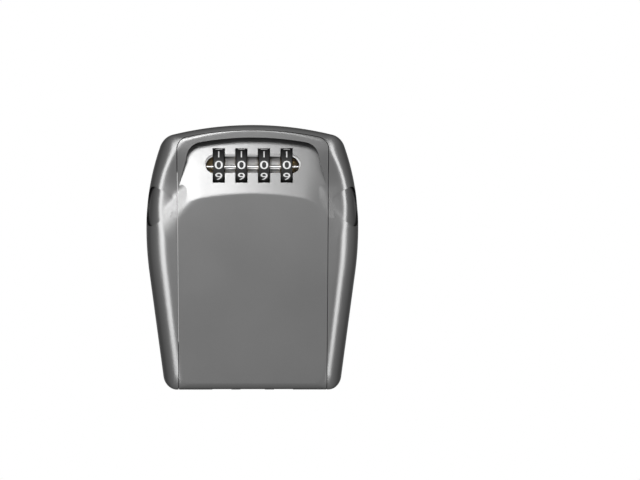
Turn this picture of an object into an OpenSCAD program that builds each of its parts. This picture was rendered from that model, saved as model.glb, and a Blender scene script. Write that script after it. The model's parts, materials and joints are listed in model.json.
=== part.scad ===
// Wall-mounted key lock box: a cast housing, a ribbed lock door with four
// number dials, and an outer front shell, both hinged on one pin at the bottom.
// X runs to the viewer's right, the front faces -Y, the wall is the plane Y = 0.

/* [Housing] */
// Greatest width of the housing
body_w = 105; // [99:1:111]
// Height of the housing
body_h = 130; // [126:1:136]
// Depth from the wall to the front face
body_d = 46; // [46:1:50]
// Height of the widest level above the middle
widest_z = 14.8; // [10:1:20]
// Radius of the crown along the top
crown_r = 165; // [150:5:190]
// Radius of the shoulders
shoulder_r = 9; // [7:1:11]
// Radius of the sides above the widest level
side_upper_r = 120; // [110:5:130]
// Radius of the sides below the widest level
side_lower_r = 166; // [150:5:180]
// Lean of the straight lower sides, in degrees
side_lean = 7.7; // [6:0.5:9]
// Radius of the bottom corners
foot_r = 7; // [5:1:9]
// Width of the rounded cheek, seen from the front
cheek_w = 11; // [9:1:11.5]
// Depth of the rounded cheek
cheek_d = 16; // [12:1:18]
// Height of the rounding along the top and the bottom
rim_h = 3.5; // [2:0.5:4]
// Depth of the rounding along the top and the bottom
rim_d = 5; // [4:0.5:6]
// Thickness of the back wall
back_wall = 3; // [2.5:0.5:4]

/* [Key space] */
// Width of the key space
cavity_w = 64.6; // [60:0.2:65]
// Top of the key space
cavity_top = 57.5; // [57:0.5:58]
// Floor of the key space
cavity_floor = -57.7; // [-59:0.1:-57]
// Depth of the ledge that the lock door closes on, behind the front face
ledge_d = 21.6; // [21:0.2:22]
// Depth of the hollows behind the cheeks, from the wall
core_d = 34; // [20:1:36]

/* [Wall holes] */
// Spacing of the wall holes across
hole_pitch_x = 56; // [50:1:57]
// Spacing of the wall holes up and down
hole_pitch_z = 88; // [80:1:90]
// Height of the upper wall holes
hole_top_z = 48.2; // [44:0.2:49]
// Radius of the wall holes
hole_r = 2.25; // [1.5:0.25:2.5]

/* [Front shell] */
// Width of the front shell at its shoulders
shell_w = 74; // [72:0.5:76]
// Width of the front shell at the bottom edge
shell_foot_w = 72.2; // [71:0.2:74]
// Top of the front shell
shell_top = 62; // [61.5:0.1:62.2]
// Radius of the front shell's upper corners
shell_corner_r = 6; // [4:0.5:8]
// Thickness of the flat front panel
panel_t = 3; // [2.5:0.1:3.2]
// Thickness of the scoop and the side walls
shell_wall = 2; // [1.6:0.1:2.2]
// Depth of the front shell's side walls
shell_d = 13; // [11:0.5:13]
// Gap around the front shell
shell_gap = 0.35; // [0.3:0.05:0.6]

/* [Scoop] */
// Level where the scoop runs out into the flat panel
scoop_z = 31.4; // [30:0.2:33]
// Top of the scoop
scoop_top = 58.6; // [58:0.1:59]
// Width of the scoop at its top
scoop_w = 65; // [62:0.5:67]
// Width of the scoop at its foot
scoop_foot_w = 81; // [79:0.5:83]
// Lean of the scoop from upright, in degrees
scoop_lean = 12.6; // [12:0.2:14]
// Radius of the scoop's crowned surface
scoop_r = 620; // [560:10:700]

/* [Dials] */
// Number of dials
dial_count = 4; // [4]
// Radius of a dial
dial_r = 9.5; // [9.2:0.1:9.6]
// Width of a dial
dial_w = 5.5; // [5:0.1:5.8]
// Spacing of the dials
dial_pitch = 11.1; // [11:0.1:11.4]
// Height of the dial shaft
dial_z = 44.5; // [44:0.1:45]
// Depth of the dial shaft behind the front face
dial_set = 9.5; // [9.5:0.1:10]
// Rounding of a dial's edges
dial_round = 0.9; // [0.5:0.1:1.2]
// Radius of the code hub inside a dial
hub_r = 5; // [4:0.1:6]
// Radius of the dial shaft
axle_r = 1; // [0.8:0.1:1.2]
// Radius of the trough around the shaft
trough_r = 7.9; // [7.7:0.1:8]
// Half the straight length of the trough
trough_half = 18.4; // [18:0.1:19]

/* [Lock door] */
// Thickness of the lock door's front skin
skin_t = 2; // [1.6:0.1:2.2]
// Bottom edge of the lock door
door_foot = -53; // [-53:0.5:-51]
// Top of the lock door
door_top = 58.5; // [58.2:0.1:58.8]
// Thickness of the ribs between the pockets
rib_t = 3.7; // [3:0.1:4.5]
// Width of one pocket
pocket_w = 16.5; // [15:0.5:17]
// Foot of the lock mechanism's case
case_foot = 18; // [17:0.5:19]
// Top of the lock mechanism's case
case_top = 54.6; // [54:0.1:54.8]
// Back of the lock mechanism's case, behind the front face
case_d = 28.3; // [27.5:0.1:29]
// Thickness of the mechanism cover
cover_t = 1.6; // [1.2:0.1:1.8]

/* [Latch] */
// Width of the keeper tab
keeper_w = 31; // [28:1:33]
// Thickness of the keeper tab
keeper_t = 2.2; // [2:0.1:2.4]
// Lower edge of the keeper tab
keeper_foot = 45; // [44.8:0.1:46]
// Width of the latch bar
latch_w = 12; // [10:0.5:14]
// Thickness of the latch bar
latch_t = 2.2; // [1.8:0.1:2.3]
// Travel of the latch bar
latch_travel = 5; // [4:0.5:5]

/* [Lever and screws] */
// Length of the code lever from its pivot
lever_l = 10; // [9:0.5:11]
// Radius of the code lever's hub, and the lever's width
lever_r = 3; // [2.6:0.1:3.2]
// Thickness of the code lever
lever_t = 1.45; // [1.2:0.05:1.5]
// Height of the code lever's finger grip
lever_grip = 1.4; // [1:0.1:1.4]
// Length of a cover screw under its head
screw_l = 8.6; // [8:0.2:9]
// Height of a cover screw's head
screw_head_t = 1.4; // [1.2:0.1:1.4]

/* [Hinge] */
// Radius of the hinge pin
pin_r = 1.5; // [1.3:0.1:1.6]
// Radius of the hinge knuckles
knuckle_r = 3.2; // [3:0.1:3.3]
// Height of the hinge pin
pin_z = -60.3; // [-60.5:0.1:-60]
// Depth of the hinge pin behind the front face
pin_set = 6.5; // [6.5:0.1:6.8]
// Clearance of a turning bore around its pin
run_gap = 0.05; // [0.03:0.01:0.08]
// Clearance between pieces that move past each other
slide_gap = 0.3; // [0.3:0.05:0.4]

/* [Hidden] */
$fn = 64;

over = 1; // how far a cut runs past the face that it opens
top_z = body_h / 2;
half_w = body_w / 2;
dial_y = -body_d + dial_set;
pin_y = -body_d + pin_set;
panel_back_y = -body_d + panel_t;
skin_front_y = panel_back_y + 2 * slide_gap;
ledge = -body_d + ledge_d;
door_back_y = ledge - slide_gap;
shell_back_y = -body_d + shell_d;
case_back_y = -body_d + case_d;
cover_front_y = case_back_y - cover_t;
bar_back_y = cover_front_y - slide_gap / 2;
bar_front_y = bar_back_y - latch_t;
keeper_y = bar_front_y - slide_gap;
leaf_t = 0.4;
leaf_y = dial_y + dial_r + leaf_t;

// Widths up the doors: half of the shell's, and of the lock door inside it
shell_half = shell_w / 2;
shell_foot = shell_foot_w / 2;
door_half = shell_half - shell_wall - 0.8;
door_foot_half = shell_foot - shell_wall - 0.8;
function door_half_at(z) = door_foot_half + (door_half - door_foot_half) * (z + top_z) / body_h;

function dial_x(i) = (i - (dial_count + 1) / 2) * dial_pitch;
function mirrored(list) = concat(list, [for (i = [len(list) - 1:-1:0]) [-list[i].x, list[i].y]]);
function arc(centre, r, a0, a1, steps) = [
    for (i = [0:steps])
        let (a = a0 + (a1 - a0) * i / steps)
        [centre.x + r * cos(a), centre.y + r * sin(a)]
];

// Upper crossing of two circles, which is where a fillet between two arcs is centred
function crossing(c0, r0, c1, r1) =
    let (
        span = norm(c1 - c0),
        along = (span * span + r0 * r0 - r1 * r1) / (2 * span),
        across = sqrt(r0 * r0 - along * along),
        unit = (c1 - c0) / span
    )
    c0 + along * unit + across * [-unit.y, unit.x];

// Arched outline: a flat foot, leaning sides, rounded corners and a crowned top
function arch(foot_half, top_half, foot, top, crown, corner) =
    let (
        centre = [0, top - crown],
        x = top_half - corner,
        z = centre.y + sqrt(pow(crown - corner, 2) - x * x),
        turn = atan2(z - centre.y, x)
    )
    mirrored(concat([[foot_half, foot]], arc([x, z], corner, 0, turn, 8), arc(centre, crown, turn, 88, 6)));

// Rounded rectangle about the origin
function rounded(w, h, r) = [
    for (q = [0:3])
        let (sx = (q == 0 || q == 3) ? 1 : -1, sz = q < 2 ? 1 : -1)
        each arc([sx * (w / 2 - r), sz * (h / 2 - r)], r, 90 * q, 90 * q + 90, 6)
];

// A plate with this outline, from its back at y1 to its front at y0
module plate(outline, y0, y1) {
    translate([0, y1, 0]) rotate([90, 0, 0]) linear_extrude(y1 - y0) polygon(outline);
}

// A block given by its ends along each axis
module block(x, y, z) {
    translate([x[0], y[0], z[0]]) cube([x[1] - x[0], y[1] - y[0], z[1] - z[0]]);
}

// A round bar along X
module bar_x(r, x0, x1) {
    translate([x0, 0, 0]) rotate([0, 90, 0]) cylinder(r = r, h = x1 - x0);
}

// A round bar along Y
module bar_y(r, y0, y1) {
    translate([0, y1, 0]) rotate([90, 0, 0]) cylinder(r = r, h = y1 - y0);
}

// Outline of the body, as [x, z, sideways share of the normal]
crown_c = [0, top_z - crown_r];
upper_c = [half_w - side_upper_r, widest_z];
lower_c = [half_w - side_lower_r, widest_z];
shoulder_c = crossing(upper_c, side_upper_r - shoulder_r, crown_c, crown_r - shoulder_r);
shoulder_from = atan2(shoulder_c.y - upper_c.y, shoulder_c.x - upper_c.x);
shoulder_to = atan2(shoulder_c.y - crown_c.y, shoulder_c.x - crown_c.x);
lean_n = [cos(side_lean), -sin(side_lean)];
lean_reach = (lower_c + side_lower_r * lean_n) * lean_n - foot_r;
foot_c = [(lean_reach - lean_n.y * (foot_r - top_z)) / lean_n.x, foot_r - top_z];
function with_normal(centre, r, a0, a1, steps) = [
    for (i = [0:steps])
        let (a = a0 + (a1 - a0) * i / steps)
        [centre.x + r * cos(a), centre.y + r * sin(a), pow(cos(a), 2)]
];
right_side = concat(
    with_normal(foot_c, foot_r, -90, -side_lean, 7),
    with_normal(lower_c, side_lower_r, -side_lean, 0, 5),
    with_normal(upper_c, side_upper_r, 3, shoulder_from, 5),
    with_normal(shoulder_c, shoulder_r, shoulder_from + 8, shoulder_to, 7),
    with_normal(crown_c, crown_r, shoulder_to + 2, 89, 7)
);
body_outline = concat(right_side, [
    for (i = [len(right_side) - 1:-1:0]) [-right_side[i].x, right_side[i].y, right_side[i].z]
]);

// The body's outer form: upright sides that round over into a flat front
module outer_form() {
    rings = 7;
    n = len(body_outline);
    sides = [
        for (k = [0:rings])
            let (a = 90 * k / rings, inset = 1 - cos(a))
            for (p = body_outline)
                [
                    p.x * (1 - inset * cheek_w / half_w),
                    -body_d + (rim_d + (cheek_d - rim_d) * p.z) * (1 - sin(a)),
                    p.y * (1 - inset * rim_h / top_z)
                ]
    ];
    back = [for (p = body_outline) [p.x, 0, p.y]];
    polyhedron(
        points = concat(back, sides),
        faces = concat(
            [[for (i = [0:n - 1]) i]],
            [[for (i = [n - 1:-1:0]) (rings + 1) * n + i]],
            [
                for (k = [0:rings], i = [0:n - 1])
                    let (j = (i + 1) % n)
                    each [[k * n + i, (k + 1) * n + i, (k + 1) * n + j], [k * n + i, (k + 1) * n + j, k * n + j]]
            ]
        )
    );
}

// Everything behind the scoop's surface, pushed back by an inset
module behind_scoop(inset) {
    translate([0, -body_d, scoop_z]) rotate([-scoop_lean, 0, 0]) translate([0, scoop_r, 0])
        cylinder(r = scoop_r - inset, h = 2 * body_h + 60, center = true, $fn = 360);
}

// What the scoop takes out of the shell and of the cheeks beside it
module scoop_cut() {
    scoop_foot = scoop_z - 12;
    difference() {
        plate(
            arch(scoop_foot_w / 2, scoop_w / 2, scoop_foot, scoop_top, crown_r - 20, shoulder_r - 1),
            -body_d - over, ledge - over
        );
        behind_scoop(0);
    }
}

// The outline of the front shell, grown or shrunk
function shell_outline(grow, foot) = arch(
    shell_foot + grow, shell_half + grow, foot, shell_top + grow, crown_r - 5, shell_corner_r + grow
);

// A capsule along X that clears the shaft between the dials
module trough() {
    translate([0, dial_y, dial_z]) {
        bar_x(trough_r, -trough_half, trough_half);
        for (side = [-1, 1]) translate([side * trough_half, 0, 0]) sphere(r = trough_r);
    }
}

// The slots that the dials turn in
module dial_slots(gap) {
    for (i = [1:dial_count])
        translate([dial_x(i), dial_y, dial_z])
            bar_x(dial_r + gap, -dial_w / 2 - slide_gap, dial_w / 2 + slide_gap);
}

// Places of the knuckles along the hinge pin
middle_half = 5.6;
outer_knuckle = [10.8, 19.4];
door_knuckle = [20, 26.4];
shell_knuckle = [27, 33.2];
pin_half = shell_foot - shell_wall - slide_gap;
floor_front_y = pin_y + pin_set + slide_gap * 2;

// Finger recess on each cheek
grip_r = 9.75;
grip_depth = 1.5;
grip_turn = 30;
grip_place = [49.8 - (105 - body_w) / 2, -body_d + 6.4, 25];

module housing_knuckle(x0, x1) {
    arm_z = [pin_z + 4, pin_z + 6.7];
    block([x0, x1], [pin_y - 2, ledge], arm_z);
    block([x0, x1], [floor_front_y, ledge], [cavity_floor - over, arm_z[1]]);
    block([x0, x1], [pin_y - 2, pin_y + 2.6], [pin_z, arm_z[1]]);
    translate([0, pin_y, pin_z]) bar_x(knuckle_r, x0, x1);
}

module housing() color("silver") difference() {
    union() {
        difference() {
            outer_form();
            plate(shell_outline(shell_gap, cavity_floor), -body_d - over, ledge);
            plate(
                arch(cavity_w / 2, cavity_w / 2, cavity_floor, cavity_top, crown_r, shell_corner_r - 1),
                ledge - over, -back_wall
            );
            block([-shell_foot - shell_gap, shell_foot + shell_gap], [-body_d - over, floor_front_y],
                  [-top_z - over, cavity_floor + over]);
            scoop_cut();
            for (side = [-1, 1]) {
                translate([side * grip_place.x, grip_place.y, grip_place.z])
                    rotate([0, 0, side < 0 ? 180 + grip_turn : -grip_turn])
                        bar_x(grip_r, -grip_depth, grip_r);
                // Hollow behind the cheek, open to the wall
                block(
                    side < 0 ? [-half_w + 8.5, -cavity_w / 2 - 3] : [cavity_w / 2 + 3, half_w - 8.5],
                    [-core_d, over], [-top_z + 22, top_z - 22]
                );
            }
        }
        // Keeper tab that hangs from the hood
        translate([0, 0, (keeper_foot + cavity_top + 2) / 2])
            plate(rounded(keeper_w, cavity_top + 2 - keeper_foot, 2), keeper_y - keeper_t, keeper_y);
        housing_knuckle(-middle_half, middle_half);
        housing_knuckle(outer_knuckle[0], outer_knuckle[1]);
        housing_knuckle(-outer_knuckle[1], -outer_knuckle[0]);
    }
    for (x = [-hole_pitch_x / 2, hole_pitch_x / 2], z = [hole_top_z, hole_top_z - hole_pitch_z])
        translate([x, 0, z]) bar_y(hole_r, -back_wall - over, over);
    translate([0, pin_y, pin_z]) bar_x(pin_r, -pin_half, pin_half);
}

module hinge_pin() color("gray")
    translate([0, pin_y, pin_z]) bar_x(pin_r, -pin_half, pin_half);

// A pair of mirrored blocks that carry a door on its knuckles
module door_knuckles(range, web_y, web_top) {
    for (side = [-1, 1]) {
        x = side < 0 ? [-range[1], -range[0]] : range;
        block(x, web_y, [pin_z, web_top]);
        translate([0, pin_y, pin_z]) bar_x(knuckle_r, x[0], x[1]);
    }
}

pocket_top = case_foot - 1.5;
pocket_foot = door_foot + 3.5;
pocket_h = (pocket_top - pocket_foot - 2 * rib_t) / 3;
case_half = cavity_w / 2 - 0.8;
chamber_half = dial_x(dial_count) + dial_w / 2 + 4.6;
cover_half = case_half - 1.5;
notch_floor = keeper_foot - 1.7;
cover_top = notch_floor - slide_gap;
cover_foot = case_foot + 2;
tab_foot = cover_foot + 2;
tab_half = 2;
tab_h = 4;
bar_foot = cover_foot + 1;
button_h = 6;
button_half = 5;
button_y = [skin_front_y + slide_gap / 2, skin_front_y + 1.4];
screw_place = [cover_half - 3.6, case_foot + 13.5];
screw_r = 1.25;
lever_place = [-14, case_foot + 9];
lever_pivot_r = 1;
catch_z = 5;
catch_y = (shell_back_y + panel_back_y) / 2;
catch_r = 1.5;

module lock_door() color("darkgray") difference() {
    union() {
        intersection() {
            plate(
                arch(door_foot_half, door_half, door_foot, door_top, crown_r - 8, shell_corner_r - 1.5),
                skin_front_y, door_back_y
            );
            behind_scoop(shell_wall + slide_gap * 1.5);
        }
        plate(
            arch(case_half, case_half, case_foot, case_top, crown_r, shell_corner_r - 1),
            door_back_y - over, case_back_y
        );
        door_knuckles(door_knuckle, [pin_y - 2, pin_y + knuckle_r], door_foot + over);
    }
    // Three by three pockets between ribs, open to the key space
    for (column = [-1:1], row = [0:2])
        translate([column * (pocket_w + rib_t), 0, pocket_foot + pocket_h / 2 + row * (pocket_h + rib_t)])
            plate(rounded(pocket_w, pocket_h, 1.5), skin_front_y + skin_t, door_back_y + over);
    trough();
    dial_slots(slide_gap * 2);
    // Chamber behind the dials, channel of the latch bar and room for the keeper tab
    block([-chamber_half, chamber_half], [leaf_y, case_back_y + over], [dial_z - dial_r - 1, notch_floor]);
    block([-latch_w / 2 - slide_gap, latch_w / 2 + slide_gap], [bar_front_y - slide_gap / 2, case_back_y + over],
          [bar_foot - slide_gap, notch_floor]);
    block([-keeper_w / 2 - 1, keeper_w / 2 + 1], [leaf_y, case_back_y + over], [notch_floor, top_z]);
    block([-cover_half - 0.2, cover_half + 0.2], [cover_front_y, case_back_y + over],
          [cover_foot - 0.2, notch_floor]);
    // Way of the thumb tab and the recess around its button
    block([-tab_half - slide_gap, tab_half + slide_gap], [-body_d, case_back_y],
          [tab_foot - slide_gap, tab_foot + tab_h + latch_travel + slide_gap]);
    block([-button_half - 1, button_half + 1], [-body_d, button_y[1] + slide_gap],
          [tab_foot - 1.5, tab_foot + button_h + latch_travel]);
    // Bores
    translate([0, dial_y, dial_z]) bar_x(axle_r, -door_half - over, door_half + over);
    translate([0, pin_y, pin_z]) bar_x(pin_r + run_gap, -pin_half - over, pin_half + over);
    for (x = [-screw_place.x, screw_place.x])
        translate([x, 0, screw_place.y]) bar_y(screw_r, cover_front_y - 8, case_back_y + over);
    translate([lever_place.x, 0, lever_place.y]) bar_y(lever_pivot_r, cover_front_y - 2, case_back_y + over);
    translate([0, catch_y, catch_z]) {
        bar_x(catch_r, -door_half - over, -door_half_at(catch_z) + 4);
        bar_x(catch_r, door_half_at(catch_z) - 4, door_half + over);
    }
}

module mechanism_cover() color("dimgray") difference() {
    block([-cover_half, cover_half], [cover_front_y, case_back_y], [cover_foot, cover_top]);
    for (x = [-screw_place.x, screw_place.x])
        translate([x, 0, screw_place.y]) bar_y(screw_r, cover_front_y - over, case_back_y + over);
    translate([lever_place.x, 0, lever_place.y]) bar_y(lever_pivot_r, cover_front_y - over, case_back_y + over);
}

module cover_screws() color("black")
    for (x = [-screw_place.x, screw_place.x]) translate([x, 0, screw_place.y]) difference() {
        union() {
            bar_y(screw_r, case_back_y - screw_l, case_back_y + over);
            bar_y(2 * screw_r, case_back_y, case_back_y + screw_head_t);
        }
        // Cross recess
        for (turn = [0, 90]) rotate([0, turn, 0])
            block([-screw_r / 4, screw_r / 4], [case_back_y + screw_head_t / 2, case_back_y + 2 * screw_head_t],
                  [-1.2 * screw_r, 1.2 * screw_r]);
    }

module dial_axle() color("lightgray")
    translate([0, dial_y, dial_z]) bar_x(axle_r, -door_half + 2, door_half - 2);

module dial(i) color("black") translate([dial_x(i), dial_y, dial_z]) rotate([0, 90, 0])
    rotate_extrude() polygon(concat(
        [[hub_r, -dial_w / 2]],
        arc([dial_r - dial_round, -dial_w / 2 + dial_round], dial_round, -90, -12, 5),
        [[dial_r, 0]],
        arc([dial_r - dial_round, dial_w / 2 - dial_round], dial_round, 12, 90, 5),
        [[hub_r, dial_w / 2]]
    ));

module code_hub(i) color("goldenrod") translate([dial_x(i), dial_y, dial_z]) difference() {
    bar_x(hub_r, -dial_w / 2, dial_w / 2);
    bar_x(axle_r + run_gap, -dial_w, dial_w);
    // Gate that the code lines up
    block([dial_w / 2 - 1.5, dial_w], [2.5, 2 * hub_r], [-1, 1]);
}

module detent_leaf() color("goldenrod") {
    leaf_foot = dial_z - dial_r + 1;
    leaf_half = chamber_half - 1;
    block([-leaf_half, leaf_half], [leaf_y, leaf_y + leaf_t], [leaf_foot, leaf_foot + 2.5]);
    for (i = [1:dial_count])
        translate([dial_x(i), 0, 0])
            block([-1.6, 1.6], [leaf_y, leaf_y + leaf_t], [leaf_foot + 2, notch_floor - slide_gap]);
}

module latch_bar() color("gray") {
    translate([0, 0, (bar_foot + cover_top) / 2])
        plate(rounded(latch_w, cover_top - bar_foot, 1), bar_front_y, bar_back_y);
    block([-tab_half, tab_half], [button_y[0] + 0.5, bar_front_y + 0.5], [tab_foot, tab_foot + tab_h]);
    translate([0, 0, tab_foot + button_h / 2 - 1])
        plate(rounded(2 * button_half, button_h, 1.2), button_y[0], button_y[1]);
}

module code_lever() color("gray") {
    lever_front = case_back_y + slide_gap / 2;
    lever_back = lever_front + lever_t;
    grip_x = lever_l - lever_r / 2;
    translate([lever_place.x, 0, lever_place.y]) difference() {
        union() {
            bar_y(lever_r, lever_front, lever_back);
            block([0, lever_l], [lever_front, lever_back], [-lever_r / 2, lever_r / 2]);
            block([grip_x, lever_l], [lever_front, lever_back + lever_grip], [-lever_r / 2, lever_r / 2]);
        }
        bar_y(lever_pivot_r + run_gap, case_back_y - over, lever_back + over);
    }
}

module lever_pivot() color("lightgray") translate([lever_place.x, 0, lever_place.y]) {
    cap_y = case_back_y + slide_gap + lever_t;
    bar_y(lever_pivot_r, cover_front_y - 1.5, cap_y + over / 2);
    bar_y(2 * lever_pivot_r, cap_y, cap_y + 0.85);
}

module shell_catches() color("lightgray") for (side = [-1, 1]) {
    tip = door_half_at(catch_z) + 0.5 - catch_r;
    translate([0, catch_y, catch_z]) {
        bar_x(catch_r, side < 0 ? -tip : tip - 2.4, side < 0 ? -tip + 2.4 : tip);
        translate([side * tip, 0, 0]) sphere(r = catch_r);
    }
}

module front_shell() color("silver") {
    floor_z = -top_z + 1.2;
    difference() {
        intersection() {
            outer_form();
            plate(shell_outline(0, -top_z), -body_d - over, shell_back_y);
        }
        scoop_cut();
        // Hollow of the shell, which follows the panel and the scoop
        intersection() {
            plate(
                arch(shell_foot - shell_wall, shell_half - shell_wall, floor_z, shell_top - 1.8,
                     crown_r - 5, shell_corner_r - 1.8),
                panel_back_y, shell_back_y + over
            );
            behind_scoop(shell_wall);
        }
        block([-half_w, half_w], [pin_y, 0], [-top_z - over, pin_z + over]);
        // Room for the housing's knuckles
        for (x = [[-middle_half, middle_half], outer_knuckle, [-outer_knuckle[1], -outer_knuckle[0]]])
            block([x[0] - 0.4, x[1] + 0.4], [panel_back_y, 0], [-top_z - over, pin_z]);
        dial_slots(slide_gap * 2);
        trough();
        for (side = [-1, 1])
            translate([side * (door_half_at(catch_z) + 0.5 + slide_gap - catch_r), catch_y, catch_z])
                sphere(r = catch_r + 0.3);
    }
    difference() {
        door_knuckles(shell_knuckle, [panel_back_y - 0.5, pin_y], pin_z + 2);
        translate([0, pin_y, pin_z]) bar_x(pin_r + run_gap, -pin_half - over, pin_half + over);
    }
}

housing();
hinge_pin();
lock_door();
mechanism_cover();
cover_screws();
dial_axle();
dial(1);  // dial_1
dial(2);  // dial_2
dial(3);  // dial_3
dial(4);  // dial_4
code_hub(1);  // code_hub_1
code_hub(2);  // code_hub_2
code_hub(3);  // code_hub_3
code_hub(4);  // code_hub_4
detent_leaf();
latch_bar();
code_lever();
lever_pivot();
shell_catches();
front_shell();
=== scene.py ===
# %% [markdown]
# # A key lock box for a wall
#
# The construction comes in as a fixed frame of named nodes and moving bodies.
# This script dresses it with smooth castings, finishes, thin printed digits and
# a studio. Lengths are in metres, with the wall at Y = 0. Angles are in degrees
# where they aren't turned into radians at once.

# %% Load the frame
import json
import math

import bmesh
import bpy
from mathutils import Matrix, Vector


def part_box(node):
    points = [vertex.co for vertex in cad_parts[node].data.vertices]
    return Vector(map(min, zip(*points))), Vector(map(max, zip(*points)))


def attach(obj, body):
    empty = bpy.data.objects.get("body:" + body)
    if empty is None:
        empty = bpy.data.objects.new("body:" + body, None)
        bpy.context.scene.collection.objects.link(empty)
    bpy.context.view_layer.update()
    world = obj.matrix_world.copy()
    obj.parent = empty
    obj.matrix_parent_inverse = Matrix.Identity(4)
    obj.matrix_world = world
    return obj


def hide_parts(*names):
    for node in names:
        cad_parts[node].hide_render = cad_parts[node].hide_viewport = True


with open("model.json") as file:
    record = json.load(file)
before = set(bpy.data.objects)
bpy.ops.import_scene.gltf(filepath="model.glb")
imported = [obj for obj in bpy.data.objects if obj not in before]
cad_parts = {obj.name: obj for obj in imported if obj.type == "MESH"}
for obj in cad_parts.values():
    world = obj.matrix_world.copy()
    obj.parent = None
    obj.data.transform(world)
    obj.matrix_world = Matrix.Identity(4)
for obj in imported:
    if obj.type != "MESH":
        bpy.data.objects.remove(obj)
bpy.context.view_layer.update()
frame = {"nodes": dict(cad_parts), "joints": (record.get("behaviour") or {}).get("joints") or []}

nodes = frame["nodes"]
MM = 0.001

# %% [markdown]
# ## Sizes read from the frame
#
# The two castings share one form, so its sizes are worked out once. The body's
# box comes from the housing, and the shaft's place from the joints of the
# dials that turn on it.

# %% Driving sizes
body_low, body_high = (Vector(c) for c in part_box("housing"))
HALF_W = body_high.x
TOP = body_high.z
FRONT = body_low.y
joint_at = {j["name"]: Vector(j["pos_m"]) for j in frame["joints"] if "pos_m" in j}
SHAFT = joint_at["dial_1_spin"]
DIAL_COUNT = 4
dial_low, dial_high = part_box("dial_1")
DIAL_R = (dial_high[2] - dial_low[2]) / 2
DIAL_W = dial_high[0] - dial_low[0]
dial_x = [joint_at[f"dial_{i}_spin"].x for i in range(1, DIAL_COUNT + 1)]
print("body, mm:", [round(v / MM, 2) for v in (2 * HALF_W, -FRONT, 2 * TOP)])
print("dial radius, mm:", round(DIAL_R / MM, 2))

# %% [markdown]
# ## Shader maths as plain expressions
#
# A finish is easier to read as `rough = 0.4 + 0.1 * grain` than as a web of
# nodes. One small class wraps a socket, and Python's operators add the Math
# nodes behind it.

# %% Socket wrapper
class Wire:
    """A shader socket that can be added, subtracted and scaled like a number."""

    def __init__(self, finish, socket):
        self.finish = finish
        self.socket = socket

    def _math(self, operation, *values):
        return self.finish.node("ShaderNodeMath", {"operation": operation}, dict(enumerate(values)))

    def __add__(self, other):
        return self._math("ADD", self, other)

    def __radd__(self, other):
        return self._math("ADD", other, self)

    def __sub__(self, other):
        return self._math("SUBTRACT", self, other)

    def __rsub__(self, other):
        return self._math("SUBTRACT", other, self)

    def __mul__(self, other):
        return self._math("MULTIPLY", self, other)

    def __rmul__(self, other):
        return self._math("MULTIPLY", other, self)

    def most(self, other):
        """The larger of two values."""
        return self._math("MAXIMUM", self, other)


print("sockets can be added, subtracted and scaled")

# %% [markdown]
# ## One builder for every finish
#
# A node is described by its type, its settings and what feeds its sockets, so
# one method can make them all. The same builder serves the materials and the
# studio's world. Colours are mixed by a Mix node, because a Math node would
# turn them grey.

# %% Finish builder
# The Mix node's colour sockets share their names with others, so they go by number.
COLOUR_A = 6
COLOUR_B = 7
COLOUR_OUT = 2


class Finish:
    """The nodes of a material or a world, all added by one method."""

    def __init__(self, owner, shader="Principled BSDF"):
        owner.use_nodes = True
        self.owner = owner
        self.tree = owner.node_tree
        self.shader = self.tree.nodes[shader]

    def node(self, kind, settings, sockets, out=0):
        made = self.tree.nodes.new(kind)
        for key, value in settings.items():
            setattr(made, key, value)
        self.fill(made, sockets)
        return Wire(self, made.outputs[out])

    def fill(self, made, sockets):
        """Links or sets the sockets of a node."""
        for key, value in sockets.items():
            if isinstance(value, Wire):
                self.tree.links.new(value.socket, made.inputs[key])
            else:
                made.inputs[key].default_value = value

    def mix(self, factor, first, second):
        sockets = {"Factor": factor, COLOUR_A: first, COLOUR_B: second}
        return self.node("ShaderNodeMix", {"data_type": "RGBA"}, sockets, out=COLOUR_OUT)

    def set(self, **inputs):
        """Fills the shader's sockets: base_color feeds Base Color, and so on."""
        titles = {key: key.replace("_", " ").title().replace("Ior", "IOR") for key in inputs}
        self.fill(self.shader, {titles[key]: value for key, value in inputs.items()})
        return self.owner


def material(name):
    return Finish(bpy.data.materials.new(name))


def grey(level):
    return (level, level, level, 1.0)


def noise(finish, scale, detail=3.0, stretch=(1, 1, 1)):
    """Noise that stays on the piece, with so many waves to a metre."""
    place = finish.node("ShaderNodeTexCoord", {}, {}, out="Object")
    spread = finish.node("ShaderNodeMapping", {}, {"Vector": place, "Scale": stretch})
    return finish.node("ShaderNodeTexNoise", {}, {"Vector": spread, "Scale": scale, "Detail": detail})


def bump(finish, height, strength, depth):
    sockets = {"Strength": strength, "Distance": depth, "Height": height}
    return finish.node("ShaderNodeBump", {}, sockets)


print("shader helpers ready")

# %% [markdown]
# ## The cast finishes
#
# The castings are satin: a die-cast alloy under a thin grey coat, with a very
# fine orange-peel bump and a roughness that wanders a little. Their colour is
# darkened where the surface turns away from the eye, as painted shade in place
# of the dark surroundings that the sides would reflect. The lock door inside has
# the same coat, left paler and rougher, and the liner of the trough is bare alloy.

# %% Cast finishes
CLOUD_WAVES = 28.0
FINE_WAVES = 900.0
GRAIN_WAVES = 2600.0
PEEL_DEPTH = 0.08 * MM
# How dark and how wide the painted shade is where the casting turns away from the eye
EDGE_SHADE_LEVEL = 0.34
EDGE_SHADE_BLEND = 0.36
COAT_TINT = 0.4


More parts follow.
